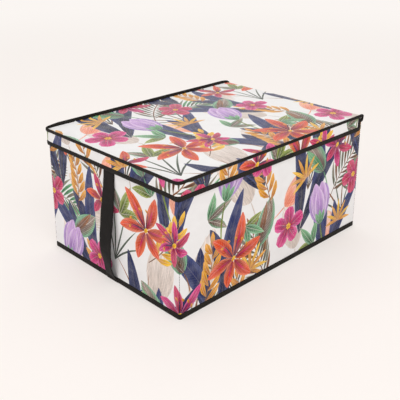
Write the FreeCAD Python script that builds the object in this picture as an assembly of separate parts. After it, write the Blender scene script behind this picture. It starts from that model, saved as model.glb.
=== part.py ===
import FreeCAD, Part
import math
import os

# Fabric-covered storage box with a lid hinged on one short end and a webbing handle on the other.
# Millimetres. +X runs from the handle end to the hinge end, +Z is up, and the origin is the middle
# of the base, on the surface that the box stands on. "Left" and "right" are seen from the handle end.

# Body, over its printed cover
body_length = 400.0
body_width = 290.0
closed_height = 195.0         # from the table to the printed face of the closed lid
body_corner_radius = 2.0

# Layers of sheet
cover_thickness = 0.5         # printed nonwoven cloth
lining_thickness = 0.5
board_thickness = 2.0         # chipboard of the walls, the lid and the base insert
rim_board_thickness = 0.6
tape_thickness = 0.5          # one leg of a folded edge tape
layer_gap = 0.3               # between pieces that move against each other
pocket_gap = 0.2              # from a board to the seam at the end of its pocket

# Edge tapes
base_tape_height = 8.0
base_tape_width = 8.0         # its leg under the base
mouth_tape_height = 8.0
mouth_tape_setback = 4.0      # its ends, short of the hinge face
rim_tape_height = 6.3

# Lid, over the printed rim
lid_overhang_end = 4.0
lid_overhang_side = 3.2
lid_corner_radius = 7.0
rim_drop = 22.5               # from the lid's face to the lower edge of the rim
rim_setback = 8.5             # end of the rim, short of the hinge face
fin_height = 3.0              # standing seam along the lid's edge
fin_lip = 0.5                 # how far its tape reaches down over the rim
fin_setback = 1.0             # its ends, short of the hinge face
tail_drop = 8.5               # folded tape end that hangs at each hinge corner, below the lid's face
tail_thickness = 1.6
tail_radius = 5.0

# Hinge: a strip of cloth with its fold on the pivot line
hinge_fold_radius = 0.6
hinge_leaf_height = 20.0
hinge_leaf_inset = 3.0        # ends of the strip, in from the long sides

# Base insert, a covered board that lies loose on the base cloth
insert_clearance = 1.5
insert_open_edge = 1.0        # how far the board stays inside the open end of its pocket
insert_lift_clearance = 0.5

# Handle strap
handle_width = 25.0
handle_thickness = 1.3
handle_offset = -4.0          # middle of the strap, off the middle of the end wall
handle_bow = 13.0             # outer face of the strap off the wall, at its widest
handle_bow_height = 62.0
handle_lower_height = 38.0    # where the strap turns back in towards the wall
handle_lower_bow = 11.9
handle_sewn_height = 20.0     # flat stretch sewn to the wall at the top
handle_foot_height = 5.5      # flat stretch above the base tape
arc_share = 0.45              # of the shorter run, taken up by each bend

# Sewing thread, laid as one bead along each seam
thread_width = 0.5
thread_height = 0.2
thread_inset = 1.2            # from the edge of a tape
corner_thread_radius = 0.35
corner_thread_proud = 0.15
tack_width = 19.0             # sewn box on the strap
tack_height = 6.0

# Heights and faces that follow from the above
half_length = body_length / 2
half_width = body_width / 2
wall_thickness = cover_thickness + board_thickness + lining_thickness
lid_thickness = wall_thickness
lid_underside = closed_height - lid_thickness
mouth_top = lid_underside - layer_gap
wall_top = mouth_top - tape_thickness
wall_foot = tape_thickness + cover_thickness
rim_stack = cover_thickness + rim_board_thickness + lining_thickness
rim_foot = closed_height - rim_drop
rim_end = half_length - rim_setback
fin_top = closed_height + fin_height
fin_end = half_length - fin_setback
pivot_x = half_length + cover_thickness / 2
pivot_z = closed_height - hinge_fold_radius
lid_back = pivot_x - hinge_fold_radius - layer_gap
lid_front = -half_length - lid_overhang_end
lid_half = half_width + lid_overhang_side


def slab(x0, x1, half, r0, r1, z0, z1):
    """Plate from x0 to x1 and half to each side of Y 0, with corners of r0 at x0 and r1 at x1."""
    edges = []
    corners = [(x0, -half, r0, 1, 1), (x1, -half, r1, -1, 1), (x1, half, r1, -1, -1), (x0, half, r0, 1, -1)]
    leave = []
    for index, (x, y, radius, to_x, to_y) in enumerate(corners):
        along_x = FreeCAD.Vector(x + to_x * radius, y, z0)
        along_y = FreeCAD.Vector(x, y + to_y * radius, z0)
        first, last = (along_y, along_x) if index % 2 == 0 else (along_x, along_y)
        if radius > 0:
            lean = radius * (1 - math.sqrt(0.5))
            middle = FreeCAD.Vector(x + to_x * lean, y + to_y * lean, z0)
            edges.append(Part.Arc(first, middle, last).toShape())
        leave.append((first, last))
    for index in range(4):
        start = leave[index][1]
        end = leave[(index + 1) % 4][0]
        edges.append(Part.LineSegment(start, end).toShape())
    wire = Part.Wire(Part.__sortEdges__(edges))
    return Part.Face(wire).extrude(FreeCAD.Vector(0, 0, z1 - z0))


def body_slab(offset, z0, z1):
    """Plate in the outline of the printed body cover, moved outwards by offset."""
    radius = max(body_corner_radius + offset, 0)
    reach = half_length + offset
    return slab(-reach, reach, half_width + offset, radius, radius, z0, z1)


def body_ring(outer, inner, z0, z1):
    """Closed ring round the body between two offsets of its outline."""
    return body_slab(outer, z0, z1).cut(body_slab(inner, z0, z1))


def open_band(x_front, half, radius, outer, inner, z0, z1, x_end):
    """Band along three sides of an outline, open towards +X."""
    solids = []
    for offset, reach in ((outer, x_end), (inner, x_end + half)):
        corner = max(radius + offset, 0)
        solids.append(slab(x_front - offset, reach, half + offset, corner, 0, z0, z1))
    return solids[0].cut(solids[1])


def body_band(outer, inner, z0, z1, x_end):
    return open_band(-half_length, half_width, body_corner_radius, outer, inner, z0, z1, x_end)


def lid_band(outer, inner, z0, z1, x_end):
    return open_band(lid_front, lid_half, lid_corner_radius, outer, inner, z0, z1, x_end)


def lid_slab(offset, z0, z1, x_end):
    """Plate in the outline of the printed rim, moved outwards by offset."""
    corner = max(lid_corner_radius + offset, 0)
    return slab(lid_front - offset, x_end, lid_half + offset, corner, 0, z0, z1)


def box(x0, x1, y0, y1, z0, z1):
    return Part.makeBox(x1 - x0, y1 - y0, z1 - z0, FreeCAD.Vector(x0, y0, z0))


def joined(shapes):
    """One solid from shapes that meet."""
    return shapes[0].fuse(shapes[1:]).removeSplitter()


def mirrored(shape):
    return shape.mirror(FreeCAD.Vector(0, 0, 0), FreeCAD.Vector(0, 1, 0))


def wall_boards():
    """Four chipboard walls, each in its own pocket between cover and lining, clear of the corner seams."""
    outer = cover_thickness
    inner = cover_thickness + board_thickness
    long_half = half_length - inner - pocket_gap
    short_half = half_width - inner - pocket_gap
    end = box(-half_length + outer, -half_length + inner, -short_half, short_half, wall_foot, wall_top)
    side = box(-long_half, long_half, -half_width + outer, -half_width + inner, wall_foot, wall_top)
    return {
        "wall_board_handle_end": end,
        "wall_board_hinge_end": end.mirror(FreeCAD.Vector(0, 0, 0), FreeCAD.Vector(1, 0, 0)),
        "wall_board_right": side,
        "wall_board_left": mirrored(side),
    }


def corner_threads():
    """Seam bead down each vertical corner of the body."""
    foot = base_tape_height + layer_gap
    height = mouth_top - mouth_tape_height - layer_gap - foot
    reach = (body_corner_radius + corner_thread_proud - corner_thread_radius) * math.sqrt(0.5)
    beads = []
    for side_x in (-1, 1):
        for side_y in (-1, 1):
            x = side_x * (half_length - body_corner_radius + reach)
            y = side_y * (half_width - body_corner_radius + reach)
            beads.append(Part.makeCylinder(corner_thread_radius, height, FreeCAD.Vector(x, y, foot)))
    return Part.makeCompound(beads)


def base_cover():
    """Base cloth: its middle lies on the table and its edge steps up over the leg of the base tape."""
    step = base_tape_width + layer_gap
    middle = body_slab(-step, 0, cover_thickness)
    edge = body_ring(0, -step - cover_thickness, tape_thickness, wall_foot)
    return joined([middle, edge])


def base_binding():
    under = body_ring(tape_thickness, -base_tape_width, 0, tape_thickness)
    beside = body_ring(tape_thickness, 0, 0, base_tape_height)
    return joined([under, beside])


def mouth_binding():
    """Tape folded over the top edge of the three walls that the lid doesn't hinge on."""
    foot = mouth_top - mouth_tape_height
    end = half_length - mouth_tape_setback
    outside = body_band(tape_thickness, 0, foot, mouth_top, end)
    inside = body_band(-wall_thickness, -wall_thickness - tape_thickness, foot, mouth_top, end)
    over = body_band(tape_thickness, -wall_thickness - tape_thickness, wall_top, mouth_top, end)
    return joined([outside, inside, over])


def strap_points():
    """Middle line of the strap as (distance off the wall, height), from its top end down."""
    flat = handle_thickness / 2
    top = mouth_top - mouth_tape_height - layer_gap
    return [
        (flat, top),
        (flat, top - handle_sewn_height),
        (handle_bow - flat, handle_bow_height),
        (handle_lower_bow - flat, handle_lower_height),
        (flat, base_tape_height + handle_foot_height),
        (flat, base_tape_height),
    ]


def strap_edges(points, aside):
    """Straight runs joined by tangent arcs along points, moved aside by that much."""
    spots = [FreeCAD.Vector(-half_length - off, handle_offset - handle_width / 2, z) for off, z in points]
    runs = [spots[i + 1] - spots[i] for i in range(len(spots) - 1)]
    ways = [FreeCAD.Vector(run).normalize() for run in runs]
    sides = [way.cross(FreeCAD.Vector(0, 1, 0)) for way in ways]
    edges = []
    here = spots[0] + sides[0] * aside
    for i in range(1, len(spots) - 1):
        turn = ways[i - 1].getAngle(ways[i])
        tangent = arc_share * min(runs[i - 1].Length, runs[i].Length)
        radius = tangent / math.tan(turn / 2)
        first = spots[i] - ways[i - 1] * tangent
        last = spots[i] + ways[i] * tangent
        inward = (ways[i] - ways[i - 1]).normalize()
        middle = spots[i] + inward * (radius / math.cos(turn / 2) - radius)
        middle_side = (sides[i - 1] + sides[i]).normalize()
        start = first + sides[i - 1] * aside
        end = last + sides[i] * aside
        edges.append(Part.LineSegment(here, start).toShape())
        edges.append(Part.Arc(start, middle + middle_side * aside, end).toShape())
        here = end
    edges.append(Part.LineSegment(here, spots[-1] + sides[-1] * aside).toShape())
    return edges


def handle_strap():
    points = strap_points()
    faces = [strap_edges(points, side * handle_thickness / 2) for side in (-1, 1)]
    ends = []
    for index in (0, -1):
        corners = [edges[index].Vertexes[index].Point for edges in faces]
        ends.append(Part.LineSegment(corners[0], corners[1]).toShape())
    wire = Part.Wire(Part.__sortEdges__(faces[0] + faces[1] + ends))
    return Part.Face(wire).extrude(FreeCAD.Vector(0, handle_width, 0))


def handle_stitching():
    """Sewn box near the top end of the strap, hidden by the rim of the closed lid."""
    face = -half_length - handle_thickness
    top = mouth_top - mouth_tape_height - layer_gap - thread_inset
    outer = box(face - thread_height, face, handle_offset - tack_width / 2, handle_offset + tack_width / 2,
                top - tack_height, top)
    inner = box(face - thread_height, face,
                handle_offset - tack_width / 2 + thread_width, handle_offset + tack_width / 2 - thread_width,
                top - tack_height + thread_width, top - thread_width)
    return outer.cut(inner)


def hinge_strip():
    """Cloth hinge: a leaf sewn to the end wall, ending in a fold that lies on the pivot line."""
    half = half_width - hinge_leaf_inset
    leaf = box(half_length, half_length + cover_thickness, -half, half, wall_top - hinge_leaf_height, pivot_z)
    fold = Part.makeCylinder(hinge_fold_radius, 2 * half, FreeCAD.Vector(pivot_x, -half, pivot_z),
                             FreeCAD.Vector(0, 1, 0))
    return joined([leaf, fold])


def hinge_stitching():
    """Two seam beads that hold the leaf to the end wall."""
    half = half_width - hinge_leaf_inset - thread_inset
    face = half_length + cover_thickness
    low = wall_top - hinge_leaf_height + thread_inset
    high = wall_top - thread_inset - thread_width
    beads = [box(face, face + thread_height, -half, half, z, z + thread_width) for z in (low, high)]
    return Part.makeCompound(beads)


def base_insert():
    """Loose board that squares the base, in a cloth pocket that is open at the hinge end."""
    reach = half_length - wall_thickness - insert_clearance
    half = half_width - wall_thickness - insert_clearance
    foot = wall_foot + layer_gap
    top = foot + 2 * lining_thickness + board_thickness
    board = box(-reach + lining_thickness, reach - insert_open_edge, -half + lining_thickness,
                half - lining_thickness, foot + lining_thickness, top - lining_thickness)
    hollow = box(-reach + lining_thickness, reach, -half + lining_thickness,
                 half - lining_thickness, foot + lining_thickness, top - lining_thickness)
    pocket = box(-reach, reach, -half, half, foot, top).cut(hollow)
    return board, pocket, top


def rim_boards():
    """Three strips that stiffen the rim, clear of its rounded corners and of its tape ends."""
    foot = rim_foot + tape_thickness
    outer = cover_thickness
    inner = cover_thickness + rim_board_thickness
    corner = lid_corner_radius + pocket_gap
    end = box(lid_front + outer, lid_front + inner, -lid_half + corner, lid_half - corner, foot, mouth_top)
    side = box(lid_front + corner, rim_end, -lid_half + outer, -lid_half + inner, foot, mouth_top)
    return {
        "rim_board_handle_end": end,
        "rim_board_right": side,
        "rim_board_left": mirrored(side),
    }


def rim_cover():
    """Printed band of the rim. Its top edge stands up inside the fin, which runs on past the rim's ends."""
    hanging = lid_band(0, -cover_thickness, rim_foot + tape_thickness, closed_height, rim_end)
    standing = lid_band(0, -cover_thickness, closed_height - fin_lip, fin_top - tape_thickness, fin_end)
    return joined([hanging, standing])


def lid_cover():
    """Printed top of the lid, turned up along three edges inside the fin."""
    flat = lid_slab(-cover_thickness, closed_height - cover_thickness, closed_height, lid_back)
    turned_up = lid_band(-cover_thickness, -2 * cover_thickness, closed_height, fin_top - tape_thickness, fin_end)
    return joined([flat, turned_up])


def lid_edge_binding():
    """Tape folded over the standing seam, with a rounded tail that hangs at each hinge corner."""
    inner_face = -2 * cover_thickness
    outside = lid_band(tape_thickness, 0, closed_height - fin_lip, fin_top, fin_end)
    inside = lid_band(inner_face, inner_face - tape_thickness, closed_height, fin_top, fin_end)
    over = lid_band(tape_thickness, inner_face - tape_thickness, fin_top - tape_thickness, fin_top, fin_end)
    start = rim_end + tape_thickness + layer_gap
    foot = closed_height - tail_drop
    tail = box(start, fin_end, -lid_half - tail_thickness, -lid_half, foot, fin_top - tape_thickness)
    below = [edge for edge in tail.Edges if abs(edge.CenterOfMass.x - fin_end) < tape_thickness / 2
             and abs(edge.CenterOfMass.z - foot) < tape_thickness / 2]
    tail = tail.makeFillet(tail_radius, below)
    return joined([outside, inside, over, tail, mirrored(tail)])


def rim_edge_binding():
    """Tape folded over the lower edge of the rim and up both of its ends."""
    top = rim_foot + rim_tape_height
    end = rim_end + tape_thickness
    inner = -rim_stack - tape_thickness
    pieces = [
        lid_band(tape_thickness, 0, rim_foot, top, end),
        lid_band(-rim_stack, inner, rim_foot, top, end),
        lid_band(tape_thickness, inner, rim_foot, rim_foot + tape_thickness, end),
    ]
    start = rim_end - rim_tape_height
    outer_y = lid_half + tape_thickness
    inner_y = lid_half + inner
    uprights = [
        box(start, end, -outer_y, -lid_half, rim_foot, closed_height - fin_lip),
        box(rim_end, end, -outer_y, -inner_y, rim_foot, lid_underside),
        box(start, end, -inner_y - tape_thickness, -inner_y, rim_foot, lid_underside),
    ]
    return joined(pieces + uprights + [mirrored(piece) for piece in uprights])


def lid_range():
    """Angle at which the free end of the opened lid would come to rest on the table, in degrees."""
    back = pivot_x - lid_front + tape_thickness
    up = fin_top - pivot_z
    reach = math.hypot(back, up)
    return 180 + math.degrees(math.asin(pivot_z / reach) - math.atan2(up, back))


def build():
    corner_seams = corner_threads()
    insert_board, insert_cover, insert_top = base_insert()
    outer_cover = body_ring(0, -cover_thickness, wall_foot, wall_top).cut(corner_seams)
    lining_face = -cover_thickness - board_thickness
    lid_board_edge = -2 * cover_thickness
    base_seam = base_tape_height - thread_inset - thread_width
    mouth_seam = mouth_top - mouth_tape_height + thread_inset
    rim_seam = rim_foot + rim_tape_height - thread_inset - thread_width
    seam_face = tape_thickness + thread_height
    nodes = {
        "base_cover": base_cover(),
        "base_binding": base_binding(),
        "base_stitching": body_ring(seam_face, tape_thickness, base_seam, base_seam + thread_width),
        "outer_cover": outer_cover,
        "inner_lining": body_ring(lining_face, -wall_thickness, wall_foot, wall_top),
        "mouth_binding": mouth_binding(),
        "mouth_stitching": body_band(seam_face, tape_thickness, mouth_seam, mouth_seam + thread_width,
                                     half_length - mouth_tape_setback),
        "corner_stitching": corner_seams,
        "handle_strap": handle_strap(),
        "handle_stitching": handle_stitching(),
        "hinge_strip": hinge_strip(),
        "hinge_stitching": hinge_stitching(),
        "insert_board": insert_board,
        "insert_cover": insert_cover,
        "lid_cover": lid_cover(),
        "lid_board": lid_slab(lid_board_edge, lid_underside + lining_thickness,
                              closed_height - cover_thickness, lid_back - cover_thickness),
        "lid_lining": lid_slab(-cover_thickness, lid_underside, lid_underside + lining_thickness, lid_back),
        "lid_edge_binding": lid_edge_binding(),
        "lid_stitching": lid_band(seam_face, tape_thickness, closed_height, closed_height + thread_width, rim_end),
        "rim_cover": rim_cover(),
        "rim_lining": lid_band(-cover_thickness - rim_board_thickness, -rim_stack,
                               rim_foot + tape_thickness, lid_underside, rim_end),
        "rim_edge_binding": rim_edge_binding(),
        "rim_stitching": lid_band(seam_face, tape_thickness, rim_seam, rim_seam + thread_width, rim_end),
    }
    nodes.update(wall_boards())
    nodes.update(rim_boards())
    print("lid comes to rest on the table at %.2f degrees" % lid_range())
    print("pivot at X %.3f, Z %.3f" % (pivot_x, pivot_z))
    print("base insert rises %.2f mm to the closed lid" % (lid_underside - insert_lift_clearance - insert_top))
    return nodes


def main():
    os.makedirs("parts", exist_ok=True)
    for name, shape in build().items():
        shape.exportStep(os.path.join("parts", name + ".step"))
        print("%-24s %d solid(s), %.1f mm3, valid %s" % (name, len(shape.Solids), shape.Volume, shape.isValid()))


main()
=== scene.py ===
import bpy
import bmesh
import math
from functools import partial
from mathutils import Matrix, Vector, noise
from mathutils.geometry import delaunay_2d_cdt


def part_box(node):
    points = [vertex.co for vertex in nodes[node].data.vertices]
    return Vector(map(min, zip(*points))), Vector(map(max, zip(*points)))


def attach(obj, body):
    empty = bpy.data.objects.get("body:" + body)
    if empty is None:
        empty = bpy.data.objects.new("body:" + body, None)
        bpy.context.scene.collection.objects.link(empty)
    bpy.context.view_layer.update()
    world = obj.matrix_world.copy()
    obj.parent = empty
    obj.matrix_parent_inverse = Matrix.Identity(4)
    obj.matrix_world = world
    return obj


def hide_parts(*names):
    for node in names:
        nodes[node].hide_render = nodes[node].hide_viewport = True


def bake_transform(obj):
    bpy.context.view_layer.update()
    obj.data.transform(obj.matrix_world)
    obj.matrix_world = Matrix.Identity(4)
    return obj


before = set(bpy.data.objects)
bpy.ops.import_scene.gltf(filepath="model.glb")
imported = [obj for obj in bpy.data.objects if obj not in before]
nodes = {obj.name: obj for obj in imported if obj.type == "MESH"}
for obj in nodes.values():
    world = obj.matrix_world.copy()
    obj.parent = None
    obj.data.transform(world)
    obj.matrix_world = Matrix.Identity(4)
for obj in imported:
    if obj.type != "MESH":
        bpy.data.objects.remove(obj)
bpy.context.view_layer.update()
mm = 0.001
up = Vector((0, 0, 1))
print("frame loaded:", len(nodes), "nodes")


# Lowest and highest corner of a CAD node, in millimetres
def nodeBox(name):
    low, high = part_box(name)
    return Vector(low) / mm, Vector(high) / mm


# sRGB hex to the linear numbers that a shader takes
def hexColour(code, alpha=1.0):
    channels = [int(code[i:i + 2], 16) / 255 for i in (1, 3, 5)]
    linear = [c / 12.92 if c <= 0.04045 else ((c + 0.055) / 1.055) ** 2.4 for c in channels]
    return (*linear, alpha)


def clamp(value, low=0, high=1):
    return max(low, min(high, value))


# Two ways to fade from 1: to nothing at reach, and like a bell
def fade(distance, reach):
    return max(0, 1 - distance / reach) ** 2


def bell(distance, reach):
    return math.exp(-(distance / reach) ** 2)


def newObject(name, data):
    item = bpy.data.objects.new(name, data)
    bpy.context.scene.collection.objects.link(item)
    return item


# Camera

cameraView = {"position": (-720.4, -715.8, 524.1), "heading": 44.315, "tilt": 19.455, "roll": -0.011,
              "lens": 61.785, "shiftY": -0.15}

camera = newObject("camera", bpy.data.cameras.new("camera"))
camera.location = Vector(cameraView["position"]) * mm
camera.rotation_euler = [math.radians(a) for a in
                         (90 - cameraView["tilt"], cameraView["roll"], -cameraView["heading"])]
camera.data.lens = cameraView["lens"]
camera.data.sensor_width = 36
camera.data.shift_y = cameraView["shiftY"]
camera.data.clip_start = 0.01
bpy.context.scene.camera = camera


# Materials

# Adds a node or takes one that is there, sets it and wires it. A bare node stands for its first output.
def addNode(tree, kind, settings=None, links=None):
    node = tree.nodes.new("ShaderNode" + kind) if isinstance(kind, str) else kind
    for key, value in (settings or {}).items():
        if isinstance(key, int) or key in node.inputs:
            node.inputs[key].default_value = value
        else:
            setattr(node, key, value)
    for key, source in (links or {}).items():
        socket = source.outputs[0] if isinstance(source, bpy.types.Node) else source
        tree.links.new(socket, node.inputs[key])
    return node


def startMaterial(name, settings):
    material = bpy.data.materials.new(name)
    material.use_nodes = True
    add = partial(addNode, material.node_tree)
    return material, add, add(material.node_tree.nodes["Principled BSDF"], settings)


printedCloth = {
    "ground": "#edeeef", "groundShade": "#e2e2e3",
    "dimplePitch": 2.0, "dimpleDepth": 0.10,     # mm; real bond points are nearer 1.2 mm apart
    "streakWidth": 0.9, "streakLength": 22.0,    # mm, brush streaks along a leaf
    "veinPitch": 5.5, "ribWidth": 0.55,          # mm
    "washSize": 16.0,                            # mm, how far the pigment pools
}


# Printed spunbond polypropylene: a matte felted sheet with a grid of pressed bond points, which gives
# the eye soft dimples, a slight haze at a low angle and ink that looks brushed on
def printedNonwoven(c=printedCloth):
    material, add, shader = startMaterial("printed spunbond nonwoven", {
        "Roughness": 0.78, "IOR": 1.49, "Sheen Weight": 0.9, "Sheen Roughness": 0.3,
        "Specular IOR Level": 0.14})
    place = add("Attribute", {"attribute_name": "strokePlace"})
    size = add("Attribute", {"attribute_name": "strokeSize"})
    base = add("Attribute", {"attribute_name": "inkBase"})
    tip = add("Attribute", {"attribute_name": "inkTip"})
    rim = add("Attribute", {"attribute_name": "inkRim"})
    where = add("UVMap", {"uv_map": "clothPlace"})
    placeParts = add("SeparateXYZ", links={0: place.outputs["Vector"]})
    sizeParts = add("SeparateXYZ", links={0: size.outputs["Vector"]})

    # Brush streaks, long along the stroke and narrow across it
    brushed = add("VectorMath", {"operation": "MULTIPLY",
                      1: (1 / c["streakLength"], 1 / c["streakWidth"], 1.0)}, {0: size.outputs["Vector"]})
    streak = add("TexNoise", {"Scale": 1.0, "Detail": 3.0, "Roughness": 0.6}, {"Vector": brushed})
    wash = add("TexNoise", {"Scale": 1 / c["washSize"], "Detail": 3.0}, {"Vector": where})

    # Base colour to tip colour along the stroke, then its rim colour towards both edges
    drift = add("Math", {"operation": "MULTIPLY_ADD", 1: 0.5, 2: -0.25}, {0: streak})
    along = add("Math", {"operation": "ADD"}, {0: placeParts.outputs[0], 1: drift})
    alongSoft = add("MapRange", {"interpolation_type": "SMOOTHSTEP", 1: 0.08, 2: 0.92}, {0: along})
    body = add("Mix", {"data_type": "RGBA"},
               {0: alongSoft, 6: base.outputs["Color"], 7: tip.outputs["Color"]})
    side = add("Math", {"operation": "ABSOLUTE"}, {0: placeParts.outputs[1]})
    sideDrift = add("Math", {"operation": "ADD"}, {0: side, 1: drift})
    sideSoft = add("MapRange", {"interpolation_type": "SMOOTHSTEP", 1: 0.35, 2: 1.0}, {0: sideDrift})
    rimShare = add("Math", {"operation": "MULTIPLY"}, {0: sideSoft, 1: rim.outputs["Alpha"]})
    inked = add("Mix", {"data_type": "RGBA"}, {0: rimShare, 6: body.outputs[2], 7: rim.outputs["Color"]})

    # Midrib and side veins, drawn as lines where the paper-white shows through
    acrossSize = add("Math", {"operation": "ABSOLUTE"}, {0: sizeParts.outputs[1]})
    midrib = add("MapRange", {1: c["ribWidth"], 2: c["ribWidth"] * 0.3, 3: 0.0, 4: 1.0}, {0: acrossSize})
    veinWay = add("Math", {"operation": "MULTIPLY_ADD", 1: -1.1}, {0: acrossSize, 2: sizeParts.outputs[0]})
    veinWave = add("Math", {"operation": "MULTIPLY", 1: 2 * math.pi / c["veinPitch"]}, {0: veinWay})
    veinSine = add("Math", {"operation": "SINE"}, {0: veinWave})
    vein = add("MapRange", {1: 0.86, 2: 1.0, 3: 0.0, 4: 0.55}, {0: veinSine})
    lines = add("Math", {"operation": "MAXIMUM"}, {0: midrib, 1: vein})
    lineShare = add("Math", {"operation": "MULTIPLY"}, {0: lines, 1: placeParts.outputs[2]})
    veined = add("Mix", {"data_type": "RGBA", 7: hexColour("#efe4dc")}, {0: lineShare, 6: inked.outputs[2]})

    # Streaks darken and lighten the ink, and the wash lets some ground through
    tone = add("MapRange", {1: 0.28, 2: 0.72, 3: 0.6, 4: 1.25}, {0: streak})
    toned = add("VectorMath", {"operation": "SCALE"}, {0: veined.outputs[2], "Scale": tone})
    groundFleck = add("Mix", {"data_type": "RGBA", 6: hexColour(c["ground"]),
                          7: hexColour(c["groundShade"])}, {0: wash})
    washShare = add("MapRange", {1: 0.4, 2: 0.75, 3: 0.0, 4: 0.1}, {0: wash})
    washed = add("Mix", {"data_type": "RGBA"}, {0: washShare, 6: toned, 7: groundFleck.outputs[2]})
    colour = add("Mix", {"data_type": "RGBA"},
                 {0: base.outputs["Alpha"], 6: groundFleck.outputs[2], 7: washed.outputs[2]})

    # Bond points pressed into the felt, and loose fibre between them. The colour is painted darker in each
    # dimple, a painted shade in the pressed points
    phase = add("VectorMath", {"operation": "SCALE", "Scale": 2 * math.pi / c["dimplePitch"]}, {0: where})
    sines = add("VectorMath", {"operation": "SINE"}, {0: phase})
    sineParts = add("SeparateXYZ", links={0: sines})
    eggCrate = add("Math", {"operation": "MULTIPLY"}, {0: sineParts.outputs[0], 1: sineParts.outputs[1]})
    dimple = add("MapRange", {1: 0.35, 2: 0.85, 3: 1.0, 4: 0.0}, {0: eggCrate})
    fibre = add("TexNoise", {"Scale": 2.2, "Detail": 4.0, "Roughness": 0.65}, {"Vector": where})
    height = add("Math", {"operation": "MULTIPLY_ADD", 1: 0.5}, {0: fibre, 2: dimple})
    bump = add("Bump", {"Strength": 0.6, "Distance": c["dimpleDepth"] * mm}, {"Height": height})
    # Painted shade: the ink and the ground are darkened in every dimple
    shade = add("MapRange", {3: 0.955, 4: 1.0}, {0: dimple})
    dimpleShaded = add("VectorMath", {"operation": "SCALE"}, {0: colour.outputs[2], "Scale": shade})
    rough = add("MapRange", {3: 0.68, 4: 0.88}, {0: fibre})
    add(shader, links={"Base Color": dimpleShaded, "Roughness": rough, "Normal": bump})
    return material


# Plain spunbond of one colour, on Object coordinates: the sum of three sines draws the same grid of
# dimples on every face that lies along two axes
def plainNonwoven(name, colour, shade, pitch=2.0):
    material, add, shader = startMaterial(name, {
        "Roughness": 0.82, "IOR": 1.49, "Sheen Weight": 0.2, "Specular IOR Level": 0.25})
    where = add("TexCoord")
    phase = add("VectorMath", {"operation": "SCALE", "Scale": 2 * math.pi / (pitch * mm)},
                {0: where.outputs["Object"]})
    sines = add("VectorMath", {"operation": "SINE"}, {0: phase})
    crate = add("VectorMath", {"operation": "DOT_PRODUCT", 1: (1, 1, 1)}, {0: sines})
    dimple = add("MapRange", {1: 0.9, 2: 1.7, 3: 1.0, 4: 0.0}, {0: crate.outputs["Value"]})
    fibre = add("TexNoise", {"Scale": 1400.0, "Detail": 4.0}, {"Vector": where.outputs["Object"]})
    cloud = add("TexNoise", {"Scale": 60.0, "Detail": 3.0}, {"Vector": where.outputs["Object"]})
    ink = add("Mix", {"data_type": "RGBA", 6: hexColour(colour), 7: hexColour(shade)}, {0: cloud})
    # Painted shade: the colour is darkened in each pressed dimple
    dimpleShade = add("MapRange", {3: 0.93, 4: 1.0}, {0: dimple})
    dimpleShaded = add("VectorMath", {"operation": "SCALE"}, {0: ink.outputs[2], "Scale": dimpleShade})
    height = add("Math", {"operation": "MULTIPLY_ADD", 1: 0.5}, {0: fibre, 2: dimple})
    slack = add("TexNoise", {"Scale": 17.0, "Detail": 2.0, "Distortion": 0.7},
                {"Vector": where.outputs["Object"]})
    slackBump = add("Bump", {"Strength": 1.0, "Distance": 2.6 * mm}, {"Height": slack})
    bump = add("Bump", {"Strength": 0.6, "Distance": 0.1 * mm}, {"Height": height, "Normal": slackBump})
    add(shader, links={"Base Color": dimpleShaded, "Normal": bump})
    return material


# Woven narrow fabric on the lengths kept along and across each swept piece: ribs of weft, broken by the
# warp, and a slant that gives the twill look of binding tape. The raised threads are painted lighter than
# the dips, a painted highlight
def wovenBand(name, dark, light, weftPitch, warpPitch, slant, depth, sheen):
    material, add, shader = startMaterial(name, {
        "Roughness": 0.7, "IOR": 1.5, "Sheen Weight": sheen, "Sheen Roughness": 0.45,
        "Specular IOR Level": 0.12})
    along = add("Attribute", {"attribute_name": "along"})
    across = add("Attribute", {"attribute_name": "across"})
    where = add("TexCoord")
    lean = add("Math", {"operation": "MULTIPLY_ADD", 1: slant},
               {0: across.outputs["Fac"], 2: along.outputs["Fac"]})
    weftPhase = add("Math", {"operation": "MULTIPLY", 1: 2 * math.pi / weftPitch}, {0: lean})
    weft = add("Math", {"operation": "SINE"}, {0: weftPhase})
    warpPhase = add("Math", {"operation": "MULTIPLY", 1: 2 * math.pi / warpPitch},
                    {0: across.outputs["Fac"]})
    warp = add("Math", {"operation": "SINE"}, {0: warpPhase})
    weave = add("Math", {"operation": "MULTIPLY_ADD", 1: 0.35}, {0: warp, 2: weft})
    fuzz = add("TexNoise", {"Scale": 900.0, "Detail": 3.0}, {"Vector": where.outputs["Object"]})
    wearAndHighlightNoise = add("TexNoise", {"Scale": 45.0, "Detail": 4.0}, {"Vector": where.outputs["Object"]})
    height = add("Math", {"operation": "MULTIPLY_ADD", 1: 0.5}, {0: fuzz, 2: weave})
    # Painted highlight and shade: the raised threads are painted lighter and the dips darker, broken up by
    # a noise that also stands for wear
    raised = add("MapRange", {1: -1.0, 2: 1.6}, {0: height})
    ribHighlightAndWear = add("Math", {"operation": "MULTIPLY"}, {0: raised, 1: wearAndHighlightNoise})
    share = add("MapRange", {1: 0.0, 2: 0.6}, {0: ribHighlightAndWear})
    colour = add("Mix", {"data_type": "RGBA", 6: hexColour(dark), 7: hexColour(light)}, {0: share})
    bump = add("Bump", {"Strength": 0.8, "Distance": depth * mm}, {"Height": raised})
    add(shader, links={"Base Color": colour.outputs[2], "Normal": bump})
    return material


# Spun polyester thread: dull black with the twist of its plies
def sewingThread():
    material, add, shader = startMaterial("spun polyester thread", {
        "Roughness": 0.55, "IOR": 1.5, "Specular IOR Level": 0.2})
    where = add("TexCoord")
    twist = add("TexNoise", {"Scale": 2600.0, "Detail": 2.0}, {"Vector": where.outputs["Object"]})
    colour = add("Mix", {"data_type": "RGBA", 6: hexColour("#151414"), 7: hexColour("#3b3735")}, {0: twist})
    add(shader, links={"Base Color": colour.outputs[2]})
    return material


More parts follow.
